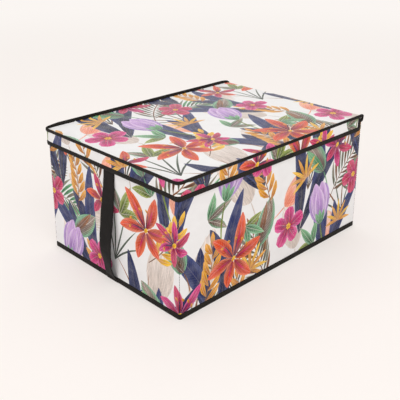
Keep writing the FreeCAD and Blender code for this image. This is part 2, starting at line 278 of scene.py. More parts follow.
# Grey chipboard and brown card: pressed waste paper, so a flat pulp with dark and pale flecks
def pressedBoard(name, dark, light):
    material, add, shader = startMaterial(name, {"Roughness": 0.9, "IOR": 1.45, "Specular IOR Level": 0.2})
    where = add("TexCoord")
    fleck = add("TexNoise", {"Scale": 420.0, "Detail": 5.0, "Roughness": 0.75},
                {"Vector": where.outputs["Object"]})
    ramp = add("MapRange", {1: 0.3, 2: 0.7}, {0: fleck})
    colour = add("Mix", {"data_type": "RGBA", 6: hexColour(dark), 7: hexColour(light)}, {0: ramp})
    bump = add("Bump", {"Strength": 0.4, "Distance": 0.1 * mm}, {"Height": fleck})
    add(shader, links={"Base Color": colour.outputs[2], "Normal": bump})
    return material


printed = printedNonwoven()
lining = plainNonwoven("white spunbond lining", "#e4e3e1", "#e0dedb")
baseCloth = plainNonwoven("black spunbond base cloth", "#2b2a29", "#232221")
tapeWeave = wovenBand("twilled binding tape", "#0a0909", "#2f2b27", 1.9, 1.1, 0.9, 0.16, 0.02)
webbingWeave = wovenBand("woven polypropylene webbing", "#090808", "#272423", 1.7, 2.6, 0.0, 0.18, 0.02)
thread = sewingThread()
greyBoard = pressedBoard("grey chipboard", "#7d7264", "#a89c8b")
brownCard = pressedBoard("brown card", "#9b8263", "#bca381")
print("materials made")


# Pieces

def addPiece(name, bm, material, slotName, body=None, *replaced):
    mesh = bpy.data.meshes.new(name)
    bm.to_mesh(mesh)
    bm.free()
    mesh.materials.append(material)
    mesh.shade_smooth()
    piece = newObject(name, mesh)
    if body:
        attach(piece, body)
    if replaced:
        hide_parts(*replaced)
    return piece


# A rounded outline seen from above, walked from the hinge end of the left side round the handle end.
# Seen from outside, the walk goes to the right.
def walkOutline(x0, x1, half, radius, closed):
    back = radius if closed else 0
    turns = [(x1 - back, half), (x0 + radius, half), (x0, half - radius), (x0, -half + radius),
             (x0 + radius, -half), (x1 - back, -half)]
    if closed:
        turns += [(x1, -half + radius), (x1, half - radius), (x1 - radius, half)]
    runs = []
    start = 0.0
    for i in range(len(turns) - 1):
        first = Vector(turns[i])
        last = Vector(turns[i + 1])
        if i % 2 == 0:
            length = (last - first).length
            runs.append({"start": start, "length": length, "first": first, "way": (last - first) / length})
        else:
            length = radius * math.pi / 2
            heading = runs[-1]["way"]
            inward = Vector((-heading.y, heading.x))
            runs.append({"start": start, "length": length, "centre": first + inward * radius,
                         "spoke": -inward, "heading": heading, "radius": radius})
        start += length
    return runs


# Point and outward way on a walk, at a length from its start
def onWalk(runs, distance):
    total = runs[-1]["start"] + runs[-1]["length"]
    distance = distance % total if "radius" in runs[-1] else distance
    run = next((r for r in runs if distance <= r["start"] + r["length"]), runs[-1])
    here = distance - run["start"]
    if "first" in run:
        point = run["first"] + run["way"] * here
        return point, Vector((run["way"].y, -run["way"].x))
    angle = here / run["radius"]
    spoke = run["spoke"] * math.cos(angle) + run["heading"] * math.sin(angle)
    return run["centre"] + spoke * run["radius"], spoke


def walkLength(runs):
    return runs[-1]["start"] + runs[-1]["length"]


# Lengths along a walk: even on its straights, close together round its corners
def walkStops(runs, first, last, gap, cornerSteps=8):
    stops = {first, last}
    for lap in (0, walkLength(runs)):
        for run in runs:
            steps = cornerSteps if "radius" in run else max(1, round(run["length"] / gap))
            for i in range(steps + 1):
                here = lap + run["start"] + run["length"] * i / steps
                if first + 0.05 < here < last - 0.05:
                    stops.add(here)
    return sorted(stops)


def onWall(runs, distance, z, out=0.0):
    point, outward = onWalk(runs, distance)
    point = point + outward * out
    return Vector((point.x, point.y, z))


def frameAt(origin, *axes):
    return Matrix.Translation(origin) @ Matrix(axes).transposed().to_4x4()


# Axes at the edge of a wall: along it, outwards, and in from the edge over the wall. They stay
# right-handed, so on a top edge, where the way in is down, the first axis runs against the walk.
def edgeFrame(runs, distance, z, inAlong=0.0, inUp=1.0, out=0.0):
    point, outward = onWalk(runs, distance)
    outward = Vector((outward.x, outward.y, 0))
    ahead = up.cross(outward)
    inward = (ahead * inAlong + up * inUp).normalized()
    origin = onWall(runs, distance, z, out)
    return frameAt(origin, inward.cross(outward), outward, inward)


# A closed profile of (out, in) points, carried along stations by extruding its last ring
def sweep(profile, stations):
    bm = bmesh.new()
    along = bm.verts.layers.float.new("along")
    across = bm.verts.layers.float.new("across")
    ring = []
    reach = 0.0
    for i, point in enumerate(profile):
        if i:
            reach += (Vector(point) - Vector(profile[i - 1])).length
        vertex = bm.verts.new(stations[0][0] @ Vector((0, *point)))
        vertex[along] = stations[0][1]
        vertex[across] = reach
        ring.append(vertex)
    edges = [bm.edges.new((ring[i - 1], ring[i])) for i in range(len(ring))]
    firstRing = list(edges)
    for i in range(1, len(stations)):
        grown = bmesh.ops.extrude_edge_only(bm, edges=edges)["geom"]
        verts = [g for g in grown if isinstance(g, bmesh.types.BMVert)]
        fresh = set(verts)
        edges = [g for g in grown if isinstance(g, bmesh.types.BMEdge) and set(g.verts) <= fresh]
        bmesh.ops.transform(bm, matrix=stations[i][0] @ stations[i - 1][0].inverted(), verts=verts)
        for vertex in verts:
            vertex[along] = stations[i][1]
    for end in (firstRing, edges):
        bmesh.ops.contextual_create(bm, geom=end)
    bmesh.ops.recalc_face_normals(bm, faces=bm.faces)
    bmesh.ops.transform(bm, matrix=Matrix.Scale(mm, 4), verts=bm.verts)
    return bm


# Tape folded over an edge: two legs joined by a half round, with its inside against the layers it holds.
# Both legs thin out towards their hems.
def foldedTape(stack, outerLeg, innerLeg, thickness, puff, fold, steps=5, turns=8):
    def swell(fromHem):
        return puff * math.sin(math.pi * fromHem) + thickness * min(1, 0.45 + 1.6 * fromHem)

    profile = [(swell(i / steps), outerLeg * (1 - i / steps)) for i in range(steps + 1)]
    half = stack / 2 + thickness
    for angle in [math.pi * i / turns for i in range(1, turns)]:
        profile.append((-stack / 2 + half * math.cos(angle), -fold * math.sin(angle)))
    profile += [(-stack - swell(1 - i / steps), innerLeg * i / steps) for i in range(steps + 1)]
    return profile + [(-stack, innerLeg), (-stack, 0.05), (0, 0.05), (0, outerLeg)]


# One row of short stitches, each a low rounded capsule lying along the row
def stitchRow(bm, frames, length, thickness):
    capsule = bmesh.new()
    bmesh.ops.create_uvsphere(capsule, u_segments=6, v_segments=4, radius=1,
                              matrix=Matrix.Rotation(math.pi / 2, 4, "Y"))
    squeeze = Matrix.Diagonal((length / 2, thickness / 2, thickness / 2, 1))
    for place in frames:
        one = bpy.data.meshes.new("stitch")
        capsule.to_mesh(one)
        one.transform(place @ squeeze)
        bm.from_mesh(one)
        bpy.data.meshes.remove(one)
    capsule.free()


def evenly(first, last, pitch):
    count = max(2, round((last - first) / pitch))
    return [first + (last - first) * (i + 0.5) / count for i in range(count)]


# The print: strokes, each a leaf or petal shape of its own, that a repeat lays over the cloth

# Each ink is the colour at a stroke's foot, at its tip and along its rim
inks = {
    "navy": ("#12183a", "#2a3468", "#404c80"),
    "deepNavy": ("#0f1433", "#1f2755", "#303966"),
    "coral": ("#93231e", "#de4f2c", "#ec8a63"),
    "flame": ("#a02c1c", "#de4b20", "#ea7f4c"),
    "magenta": ("#7c114a", "#d4297e", "#e26aa6"),
    "crimson": ("#821135", "#c8245a", "#dc5f8c"),
    "lilac": ("#8760ac", "#c69fda", "#e4cdec"),
    "violet": ("#684196", "#a07ac6", "#c6a7e0"),
    "mustard": ("#b0640f", "#e69f20", "#f3c456"),
    "yellow": ("#cd880e", "#f2be22", "#f9db66"),
    "green": ("#2c6640", "#6dac79", "#9dcfaa"),
    "olive": ("#4b5d20", "#85983c", "#b0be68"),
    "taupe": ("#57453c", "#96857a", "#72b48e"),
    "brown": ("#4d3227", "#925f3f", "#c69162"),
    "ghost": ("#d2c5bc", "#e9dfd9", "#dccfc7"),
    "peach": ("#ea8062", "#f9d4c2", "#f4af95"),
    "stem": ("#2c3432", "#536350", "#728069"),
}


def stroke(x, y, angle, length, half, ink, turn=0.0, bulge=0.5, blunt=0.8, rib=0.0, rimShare=0.6):
    return {"x": x, "y": y, "angle": math.radians(angle), "length": length, "half": half, "ink": ink,
            "turn": math.radians(turn), "bulge": bulge, "blunt": blunt, "rib": rib, "rimShare": rimShare}


# Half width of a stroke at a share of its length
def strokeHalf(s, share):
    share = clamp(share)
    before = (share / s["bulge"]) ** (2 * s["blunt"] * s["bulge"])
    after = ((1 - share) / (1 - s["bulge"])) ** (2 * s["blunt"] * (1 - s["bulge"]))
    return s["half"] * before * after


# Print-plane point of a place on a stroke, and the way back. The middle line is an arc.
def strokePoint(s, share, aside):
    if abs(s["turn"]) < 0.01:
        local = Vector((share * s["length"], aside))
    else:
        radius = s["length"] / s["turn"]
        turned = s["turn"] * share
        local = Vector(((radius - aside) * math.sin(turned), radius - (radius - aside) * math.cos(turned)))
    cosine = math.cos(s["angle"])
    sine = math.sin(s["angle"])
    return Vector((s["x"] + local.x * cosine - local.y * sine, s["y"] + local.x * sine + local.y * cosine))


def strokeAt(s, x, y):
    cosine = math.cos(s["angle"])
    sine = math.sin(s["angle"])
    dx = x - s["x"]
    dy = y - s["y"]
    localX = dx * cosine + dy * sine
    localY = dy * cosine - dx * sine
    if abs(s["turn"]) < 0.01:
        return localX / s["length"], localY
    radius = s["length"] / s["turn"]
    sign = 1 if radius > 0 else -1
    turned = math.atan2(sign * localX, sign * (radius - localY))
    return turned / s["turn"], radius - sign * math.hypot(localX, radius - localY)


def strokeOutline(s):
    steps = max(5, min(14, round(s["length"] / 7)))
    shares = [0.5 - 0.5 * math.cos(math.pi * i / steps) for i in range(steps + 1)]
    right = [strokePoint(s, share, -strokeHalf(s, share)) for share in shares[:-1]]
    left = [strokePoint(s, share, strokeHalf(s, share)) for share in reversed(shares[1:])]
    return right + left


# Motifs. Each takes its place, the way it points, its size in mm and its inks, and yields strokes.

def lily(x, y, angle, size, ink, second):
    for ring, shift, share in ((second, 60, 0.92), (ink, 0, 1.0)):
        for way in [angle + shift + 120 * i for i in range(3)]:
            reach = size * share * (0.84 + 0.16 * math.cos(math.radians(way - angle)))
            heading = Vector((math.cos(math.radians(way)), math.sin(math.radians(way))))
            foot = Vector((x, y)) + heading * size * 0.04
            yield stroke(*foot, way - 12, reach, size * 0.155, ring, 26, 0.5, 0.82, 0.25, 0.75)
            yield stroke(*foot, way - 10, reach * 0.62, size * 0.028, "crimson", 16, 0.5, 0.7, 0, 0.2)
    for i in range(5):
        way = angle - 44 + 22 * i
        hair = stroke(x, y, way, size * 0.46, 0.8, "deepNavy", -14 + 7 * i, 0.5, 0.25)
        yield hair
        end = strokePoint(hair, 1.0, 0)
        yield stroke(end.x - 1.5, end.y - 1.5, way + 60, 6.5, 1.7, "mustard", 0, 0.5, 0.5)
    yield stroke(x - 3, y - 3, 45, 9, 3.2, "yellow", 0, 0.5, 0.5)


def bloom(x, y, angle, size, ink, second):
    for i in range(5):
        reach = size * (0.92 + 0.08 * math.cos(i * 2.4))
        yield stroke(x, y, angle + 72 * i - 8, reach, size * 0.33, ink, 16, 0.64, 0.58, 0.35, 0.85)
    for i in range(10):
        yield stroke(x, y, angle + 18 + 36 * i, size * 0.44, size * 0.045, second, 10, 0.5, 0.7, 0, 0.3)
    for i in range(6):
        yield stroke(x, y, angle + 60 * i, size * 0.15, size * 0.045, "yellow", 0, 0.6, 0.4)


def cup(x, y, angle, size, ink, second):
    yield stroke(x, y, angle + 180, size * 0.75, 1.5, "olive", 22, 0.5, 0.15)
    petals = ((30, 0.9, 0.16, second), (-30, 0.92, 0.16, second), (13, 1.0, 0.19, ink),
              (-14, 0.97, 0.19, ink), (0, 0.84, 0.17, ink))
    for lean, reach, half, ring in petals:
        yield stroke(x, y, angle + lean, size * reach, size * half, ring, -lean * 1.1, 0.54, 0.78, 0.4, 0.8)
    for lean in (-38, 34, 0):
        yield stroke(x, y, angle + lean, size * 0.34, size * 0.06, "green", -lean * 0.6, 0.45, 0.8, 0.3)


def fan(x, y, angle, size, ink, second):
    blades = ((26, 0.72, -40, second), (-24, 0.8, 44, second), (10, 0.92, 22, ink), (-9, 1.0, -26, ink))
    for lean, reach, turn, ring in blades:
        yield stroke(x, y, angle + lean, size * reach, size * 0.066, ring, turn, 0.6, 1.0, 0.12, 0.8)


def sprig(x, y, angle, size, ink, second, leafCount=10):
    stem = stroke(x, y, angle, size, 0.8, second, 26, 0.5, 0.12)
    yield stem
    for i in range(leafCount):
        share = 0.2 + 0.74 * i / leafCount
        foot = strokePoint(stem, share, 0)
        side = 1 if i % 2 else -1
        reach = size * (0.36 - 0.14 * share)
        yield stroke(foot.x, foot.y, angle + 26 * share + side * 52, reach, size * 0.05, ink, -side * 34,
                     0.55, 1.0, 0.3, 0.5)
    end = strokePoint(stem, 0.97, 0)
    yield stroke(end.x, end.y, angle + 26, size * 0.22, size * 0.042, ink, 0, 0.5, 1.0, 0.3, 0.5)


def frond(x, y, angle, size, ink, second, leafCount=22):
    stem = stroke(x, y, angle, size, 1.0, second, -34, 0.5, 0.15)
    for i in range(leafCount):
        share = 0.14 + 0.84 * i / leafCount
        foot = strokePoint(stem, share, 0)
        side = 1 if i % 2 else -1
        way = angle - 34 * share + side * (58 - 22 * share)
        reach = size * (0.2 + 0.3 * math.sin(math.pi * min(1, share * 1.1)))
        yield stroke(foot.x, foot.y, way, reach, size * 0.024, ink if i % 3 else second, -side * 20,
                     0.45, 1.0, 0, 0.6)
    yield stem


def leaves(x, y, angle, size, ink, second):
    for lean, reach, ring in ((42, 0.8, second), (-40, 0.85, ink), (2, 1.0, ink)):
        yield stroke(x, y, angle + lean, size * reach, size * 0.15, ring, lean * 0.5, 0.42, 0.95, 0.6, 0.7)


def broad(x, y, angle, size, ink, second):
    yield stroke(x, y, angle + 180, size * 0.5, 1.1, second, -20, 0.5, 0.2)
    yield stroke(x, y, angle, size, size * 0.25, ink, 14, 0.42, 0.74, 0.8, 0.9)
    yield stroke(x, y, angle + 9, size * 0.9, size * 0.08, second, 10, 0.45, 0.85, 0.3, 0.2)


def grass(x, y, angle, size, ink, second):
    for i in range(5):
        yield stroke(x, y, angle - 24 + 12 * i, size * (0.7 + 0.08 * i), 1.5, second if i % 2 else ink,
                     -30 + 15 * i, 0.4, 0.7)


def star(x, y, angle, size, ink, second):
    for i in range(-3, 4):
        reach = size * (1.0 - 0.05 * abs(i))
        yield stroke(x, y, angle + 26 * i, reach, size * 0.075, second if i % 2 else ink, i * 9,
                     0.5, 0.9, 0.3, 0.5)


# The repeat of the design. A row holds motif, x, y, the way it points, size and inks, lowest layer first.
printDesign = {
    "width": 336.0, "height": 310.0, "drop": 155.0,
    "motifs": [
        (broad, 40, 40, 62, 104, "ghost", "ghost"), (broad, 150, 150, 118, 108, "ghost", "ghost"),
        (broad, 255, 40, 100, 96, "ghost", "ghost"), (broad, 300, 190, 70, 106, "ghost", "ghost"),
        (broad, 190, 265, 140, 96, "ghost", "ghost"), (frond, 90, 200, 60, 120, "ghost", "ghost"),
        (broad, 225, 120, 35, 78, "peach", "peach"), (broad, 20, 165, 100, 70, "peach", "peach"),
        (grass, 120, 20, 96, 116, "stem", "brown"), (grass, 280, 130, 84, 110, "brown", "stem"),
        (grass, 40, 210, 110, 100, "stem", "brown"), (grass, 215, 215, 70, 104, "stem", "stem"),
        (frond, 196, 8, 128, 118, "taupe", "brown"), (frond, 338, 96, 60, 124, "taupe", "brown"),
        (frond, 20, 262, 20, 112, "green", "taupe"),
        (fan, 92, -22, 100, 205, "navy", "deepNavy"), (fan, 262, 62, 74, 200, "deepNavy", "navy"),
        (fan, 178, 158, 116, 190, "navy", "deepNavy"), (fan, 330, -40, 82, 170, "navy", "navy"),
        (broad, 22, 92, 118, 74, "taupe", "brown"), (broad, 168, 76, 62, 76, "taupe", "brown"),
        (broad, 318, 150, 122, 72, "taupe", "green"), (broad, 118, 226, 30, 68, "taupe", "brown"),
        (leaves, 300, 30, 128, 52, "green", "olive"), (leaves, 66, 150, 20, 50, "taupe", "green"),
        (leaves, 232, 292, 60, 54, "olive", "taupe"), (leaves, 140, 116, -30, 46, "green", "olive"),
        (sprig, 52, 12, 64, 104, "mustard", "brown"), (sprig, 196, 120, 100, 98, "mustard", "brown"),
        (sprig, 290, 240, 38, 100, "yellow", "brown"), (sprig, 130, 262, 80, 92, "mustard", "brown"),
        (star, 150, 44, 60, 44, "yellow", "mustard"), (star, 274, 150, 120, 42, "mustard", "yellow"),
        (star, 30, 204, 90, 40, "yellow", "mustard"),
        (cup, 318, 60, 98, 76, "lilac", "violet"), (cup, 98, 168, 72, 76, "lilac", "violet"),
        (bloom, 236, 84, 18, 37, "magenta", "crimson"), (bloom, 66, 276, 50, 34, "crimson", "magenta"),
        (bloom, 178, 206, 0, 31, "magenta", "crimson"),
        (lily, 116, 76, 74, 66, "coral", "flame"), (lily, 286, 286, 128, 64, "flame", "coral"),
        (lily, 14, 30, 40, 50, "magenta", "crimson"), (lily, 190, 300, 52, 46, "coral", "crimson"),
        (lily, 6, 130, 150, 40, "crimson", "magenta"),
    ],
}


# Strokes of the repeat that reach a box of the print plane
def strokesOver(low, high, design=printDesign, reach=190.0):
    width, height, drop = design["width"], design["height"], design["drop"]
    columns = range(math.floor((low.x - reach) / width), math.ceil((high.x + reach) / width) + 1)
    rows = range(math.floor((low.y - reach - drop) / height), math.ceil((high.y + reach) / height) + 1)
    for motif, motifX, motifY, *looks in design["motifs"]:
        for column in columns:
            for row in rows:
                x = motifX + column * width
                y = motifY + row * height + column % 2 * drop
                if not (low.x - reach < x < high.x + reach and low.y - reach < y < high.y + reach):
                    continue
                for s in motif(x, y, *looks):
                    outline = strokeOutline(s)
                    if (max(p.x for p in outline) > low.x and min(p.x for p in outline) < high.x
                            and max(p.y for p in outline) > low.y and min(p.y for p in outline) < high.y):
                        yield s, outline


# Points along a closed outline, no further apart than gap
def divided(corners, gap):
    points = []
    for i, corner in enumerate(corners):
        following = Vector(corners[(i + 1) % len(corners)])
        start = Vector(corner)
        steps = max(1, math.ceil((following - start).length / gap))
        points += [start.lerp(following, k / steps) for k in range(steps)]
    return points


# A sheet of printed cloth. The strokes' outlines are cut into the sheet, so every edge of the print is
# sharp, and each corner of each face knows where on its stroke it lies. place puts a point in space.
def printedSheet(name, corners, place, shift, body, replaced, extra=(), gap=6.0):
    ring = divided(corners, gap)
    low = Vector((min(p.x for p in ring), min(p.y for p in ring)))
    high = Vector((max(p.x for p in ring), max(p.y for p in ring)))
    shift = Vector(shift)
    points = list(ring)
    outlines = [list(range(len(ring)))]
    strokes = []
    for s, outline in strokesOver(low + shift, high + shift):
        outlines.append(list(range(len(points), len(points) + len(outline))))
        points += [p - shift for p in outline]
        strokes.append(s)
    columns, rows = [range(1, int(size / gap)) for size in high - low]
    points += [low + Vector((column + 0.5 * (row % 2), row)) * gap for column in columns for row in rows]
    points += [Vector(p) for p in extra]
    spots, _, faces, _, _, owners = delaunay_2d_cdt(points, [], outlines, 1, 1e-4, True)

    bm = bmesh.new()
    verts = [bm.verts.new(place(p.x, p.y) * mm) for p in spots]
    kept = [(face, max(owner)) for face, owner in zip(faces, owners) if 0 in owner]
    for face, _ in kept:
        bm.faces.new([verts[i] for i in face])
    bmesh.ops.delete(bm, geom=[v for v in verts if not v.link_faces], context="VERTS")
    piece = addPiece(name, bm, printed, "printed_cloth", body, *replaced)

    clear = [(0.0, 0.0, 0.0, 0.0)] * 3
    colours = [[hexColour(inks[s["ink"]][0]), hexColour(inks[s["ink"]][1]),
                hexColour(inks[s["ink"]][2], s["rimShare"])] for s in strokes]
    values = {"strokePlace": [], "strokeSize": [], "inkBase": [], "inkTip": [], "inkRim": []}
    clothPlace = []
    for face, top in kept:
        for u, v in [spots[i] + shift for i in face]:
            clothPlace += [u, v]
            strokePlace = strokeSize = (0, 0, 0)
            if top:
                s = strokes[top - 1]
                share, aside = strokeAt(s, u, v)
                strokePlace = (share, clamp(aside / max(strokeHalf(s, share), 0.2), -1), s["rib"])
                strokeSize = (share * s["length"], aside, 7.3 * top)
            for key, value in zip(values, (strokePlace, strokeSize, *(colours[top - 1] if top else clear))):
                values[key] += value
    for key, flat in values.items():
        kind, field = ("FLOAT_COLOR", "color") if key.startswith("ink") else ("FLOAT_VECTOR", "vector")
        piece.data.attributes.new(key, kind, "CORNER").data.foreach_set(field, flat)
    piece.data.uv_layers.new(name="clothPlace").data.foreach_set("uv", clothPlace)
    print(name, "cut:", len(kept), "faces,", len(strokes), "strokes")
    return piece


# Slow waves of glued cloth, in mm
def clothWave(u, v, seed, depth):
    slow = noise.noise(Vector((u / 85, v / 70, seed)))
    quick = noise.noise(Vector((u / 26, v / 30, seed + 9)))
    return depth * (slow + 0.35 * quick)


bodyLow, bodyHigh = nodeBox("outer_cover")
rimLow, rimHigh = nodeBox("rim_cover")
lidLow, lidHigh = nodeBox("lid_cover")
leafLow, leafHigh = nodeBox("hinge_strip")
liningLow, liningHigh = nodeBox("lid_lining")
rimEnd = nodeBox("rim_lining")[1].x
clothThick = liningHigh.z - liningLow.z
lidTop = lidLow.z + clothThick
bodyWalk = walkOutline(bodyLow.x, bodyHigh.x, bodyHigh.y, 2.0, True)
rimWalk = walkOutline(rimLow.x, rimEnd, rimHigh.y, 7.0, False)
finWalk = walkOutline(rimLow.x, rimHigh.x, rimHigh.y, 7.0, False)

# Walls: four sheets that meet in the corner seams, where the thread draws them in

wallCloth = {"waveDepth": 0.28, "seamPinch": 0.45, "seamReach": 1.6, "puckerDepth": 0.22,
             "puckerPitch": 8.5, "puckerReach": 11.0, "shiftUp": 24.0}


def wallPlace(seamLow, seamHigh, seed, w=wallCloth):
    def place(u, v):
        fromSeam = min(u - seamLow, seamHigh - u)
        ripple = math.sin(2 * math.pi * v / w["puckerPitch"] + 2 * noise.noise(Vector((v / 20, seed, 0))))
        pucker = w["puckerDepth"] * ripple * fade(fromSeam, w["puckerReach"]) * min(1, fromSeam)
        wave = clothWave(u, v, seed, w["waveDepth"]) * min(1, fromSeam / 6)
        return onWall(bodyWalk, u, v, wave - w["seamPinch"] * fade(fromSeam, w["seamReach"]) + pucker)
    return place


seams = [r["start"] + r["length"] / 2 for r in bodyWalk if "radius" in r]
wallEdges = [(seams[3] - walkLength(bodyWalk), seams[0]), *zip(seams, seams[1:])]
wallNames = ("left", "handle_end", "right", "hinge_end")
for index, (wallName, (first, last)) in enumerate(zip(wallNames, wallEdges)):
    corners = [(first, bodyLow.z), (last, bodyLow.z), (last, bodyHigh.z), (first, bodyHigh.z)]
    nearSeams = [(edge + side * inset, bodyLow.z + 1.5 + 2.4 * row)
                 for edge, side in ((first, 1), (last, -1))
                 for inset in (0.5, 1.1, 1.8, 3.4, 5.2) for row in range(78)]
    wall = printedSheet("wall_cloth_" + wallName, corners, wallPlace(first, last, 3.0 * index),
                        (0, wallCloth["shiftUp"]), "box", ["outer_cover"], nearSeams)
print("walls covered")

# Lid: one sheet over the board, round the hinge fold and down the hinge end, where its leaf is sewn on

lidCloth = {"foldRadius": 3.4, "edgeInset": 0.2, "cornerRadius": 6.3, "rise": 2.2, "riseReach": 2.6,
            "waveDepth": 0.3, "puckerDepth": 0.22, "puckerPitch": 11.0, "puckerReach": 14.0,
            "leafInset": 0.8, "shift": (60.0, 190.0)}
lidFront = lidLow.x + lidCloth["edgeInset"]
lidHalf = lidHigh.y - lidCloth["edgeInset"]
foldX = leafHigh.x - lidCloth["foldRadius"]
foldRun = lidCloth["foldRadius"] * math.pi / 2
leafEnd = foldX + foldRun + lidTop - lidCloth["foldRadius"] - leafLow.z
leafHalf = bodyHigh.y - lidCloth["leafInset"]


# How far a point of the lid lies inside its sewn edges
def insideLid(u, v, radius=lidCloth["cornerRadius"]):
    aside = abs(v)
    if u < lidFront + radius and aside > lidHalf - radius:
        return radius - math.hypot(lidFront + radius - u, aside - lidHalf + radius)
    return min(u - lidFront, lidHalf - aside)


def lidPlace(u, v, c=lidCloth):
    inside = insideLid(u, v)
    radius = c["foldRadius"]
    if u <= foldX:
        rise = c["rise"] * fade(inside, c["riseReach"])
        edge = fade(inside, c["puckerReach"]) * min(1, inside / c["riseReach"])
        shift = 3 * noise.noise(Vector((u / 30, v / 30, 2)))
        ripple = math.sin(2 * math.pi * (u + v) / c["puckerPitch"] + shift)
        flat = min(1, (foldX - u) / 12)
        wave = clothWave(u, v, 20.0, c["waveDepth"]) * min(1, inside / 8)
        return Vector((u, v, lidTop + rise + flat * (wave + c["puckerDepth"] * ripple * edge)))
    if u <= foldX + foldRun:
        angle = (u - foldX) / radius
        return Vector((foldX + radius * math.sin(angle), v, lidTop - radius + radius * math.cos(angle)))
    return Vector((foldX + radius, v, lidTop - radius - (u - foldX - foldRun)))


def roundCorner(x, y, radius, start, steps=6):
    angles = [math.radians(start + 90 * i / steps) for i in range(steps + 1)]
    return [(x + radius * math.cos(a), y + radius * math.sin(a)) for a in angles]


lidRadius = lidCloth["cornerRadius"]
lidCorners = [(foldX, -lidHalf), (foldX + foldRun, -leafHalf), (leafEnd, -leafHalf), (leafEnd, leafHalf),
              (foldX + foldRun, leafHalf), (foldX, lidHalf),
              *roundCorner(lidFront + lidRadius, lidHalf - lidRadius, lidRadius, 90),
              *roundCorner(lidFront + lidRadius, -lidHalf + lidRadius, lidRadius, 180)]
foldPoints = [(foldX + foldRun * i / 8, -leafHalf + 2 * leafHalf * j / 60)
              for i in range(9) for j in range(1, 60)]
hem = []
for inset in (0.8, 1.6, 2.6, 4.5):
    for k in range(131):
        hem += [(lidFront + lidRadius + 3 * k, side * (lidHalf - inset)) for side in (-1, 1)]
    hem += [(lidFront + inset, -lidHalf + lidRadius + 2.8 * k) for k in range(101)]
    for y, start in ((lidHalf - lidRadius, 90), (-lidHalf + lidRadius, 180)):
        hem += roundCorner(lidFront + lidRadius, y, lidRadius - inset, start)
hem = [p for p in hem if p[0] < foldX and insideLid(*p) > 0.4]
lid = printedSheet("lid_cloth", lidCorners, lidPlace, lidCloth["shift"], None, ["lid_cover", "hinge_strip"],
                   foldPoints + hem)
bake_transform(lid)
print("lid covered")

# Plain cloth turned over the boards' edges at the fold, seen when the lid stands open
hingeLining = {"thick": 0.25, "hem": 6.0, "underLid": 7.0, "overEdge": 1.8, "tuck": 0.02,
               "shortOfSide": 0.3, "foldStack": (0.1, 0.06), "lidSide": [(2.15, 2.3), (1.9, 2.5)],
               "boxSide": [(2.9, -3.0), (2.9, 0.0), (2.73, 1.1), (2.3, 2.15)]}


# A strip of lining across the hinge end, from its (x, z) profile
def hingeStrip(name, profile, half, body=None, steps=40):
    stations = []
    for i in range(steps + 1):
        fromLeft = 2 * half * i / steps
        stations.append((frameAt((0, half - fromLeft, 0), (0, -1, 0), (1, 0, 0), up), fromLeft))
    return addPiece(name, sweep(profile, stations), lining, "lining_cloth", body)


def wallHem(h=hingeLining):
    thick = h["thick"]
    inside = nodeBox("inner_lining")[1].x - clothThick
    covered = inside - h["tuck"]
    top = bodyHigh.z
    hem = top - h["hem"]
    hingeStrip("hinge_wall_lining", [
        (bodyHigh.x, top + h["tuck"]), (bodyHigh.x, top + thick), (inside, top + thick),
        (inside - thick, top - 0.1), (inside - thick, hem), (covered, hem), (covered, top + h["tuck"])],
        bodyHigh.y - h["shortOfSide"], "box")


def lidHem(h=hingeLining):
    edge, bottom = liningHigh.x, liningLow.z
    under = edge - h["underLid"]
    outer = edge + 0.1
    back = outer - h["thick"]
    hingeStrip("hinge_lid_lining", [
        (under, bottom), (under, bottom - h["thick"]), (edge, bottom - h["thick"]), (outer, bottom),
        (outer, bottom + h["overEdge"]), (back, bottom + h["overEdge"]), (back, bottom)], bodyHigh.y, "lid")


# Half of the fold's lining rides on each body, so only the short stretch between the two halves opens
def foldHem(h=hingeLining):
    centre = Vector((foldX, lidTop - lidCloth["foldRadius"]))
    outside = [centre + Vector(p) for p in h["boxSide"] + h["lidSide"]]
    inside = [p - Vector(h["foldStack"]) for p in reversed(outside)]
    strip = hingeStrip("hinge_fold_lining", outside + inside, leafHalf - 0.4)
    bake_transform(strip)


wallHem()
lidHem()
foldHem()

# Rim: a band of the same cloth round three sides, its top edge up inside the standing seam. Its lower
# edge sags on the right, most at the near corner, and the far front corner is drawn in.

rimCloth = {"bulge": 0.55, "waveDepth": 0.35, "shift": (30.0, 118.0), "tuck": 0.4, "underTape": 4.5,
            "underSeam": 2, "endClear": 5, "endFade": 14.0, "cornerFade": 20, "sag": 0.9,
            "cornerSag": 0.9, "cornerReach": 9.0, "draw": 0.9, "drawReach": 9.0}
rimFoot = rimLow.z
rimTop = rimHigh.z - rimCloth["tuck"]
rimTall = rimTop - rimFoot
rimLength = walkLength(rimWalk)
rimCorner = [run["start"] + run["length"] / 2 for run in rimWalk if "radius" in run]


def rimSag(s, c=rimCloth):
    past = s - rimCorner[1]
    return c["sag"] * clamp((past + 20) / 40) + c["cornerSag"] * bell(past, c["cornerReach"])


def rimDraw(s, c=rimCloth):
    return -c["draw"] * bell(s - rimCorner[0], c["drawReach"])


def rimPlace(u, v, c=rimCloth):
    clear = (v - rimFoot - c["underTape"]) / (rimTall - c["underTape"] - c["underSeam"])
    fromEnd = min(u, rimLength - u) - c["endClear"]
    ends = clamp(min(fromEnd / c["endFade"], abs(u - rimCorner[0]) / c["cornerFade"]))
    free = math.sin(math.pi * clamp(clear)) * ends
    bulge = free * (c["bulge"] + clothWave(u, v, 40.0, c["waveDepth"]))
    return onWall(rimWalk, u, v - (1 - (v - rimFoot) / rimTall) * rimSag(u), bulge + rimDraw(u))


roundRim = [(run["start"] + run["length"] * i / 8, rimFoot + rimTall * j / 9)
            for run in rimWalk if "radius" in run for i in range(9) for j in range(1, 9)]
rimCorners = [(0, rimFoot), (rimLength, rimFoot), (rimLength, rimTop), (0, rimTop)]
rim = printedSheet("rim_cloth", rimCorners, rimPlace, rimCloth["shift"], "lid", ["rim_cover"], roundRim,
                   gap=4.5)
print("rim covered")

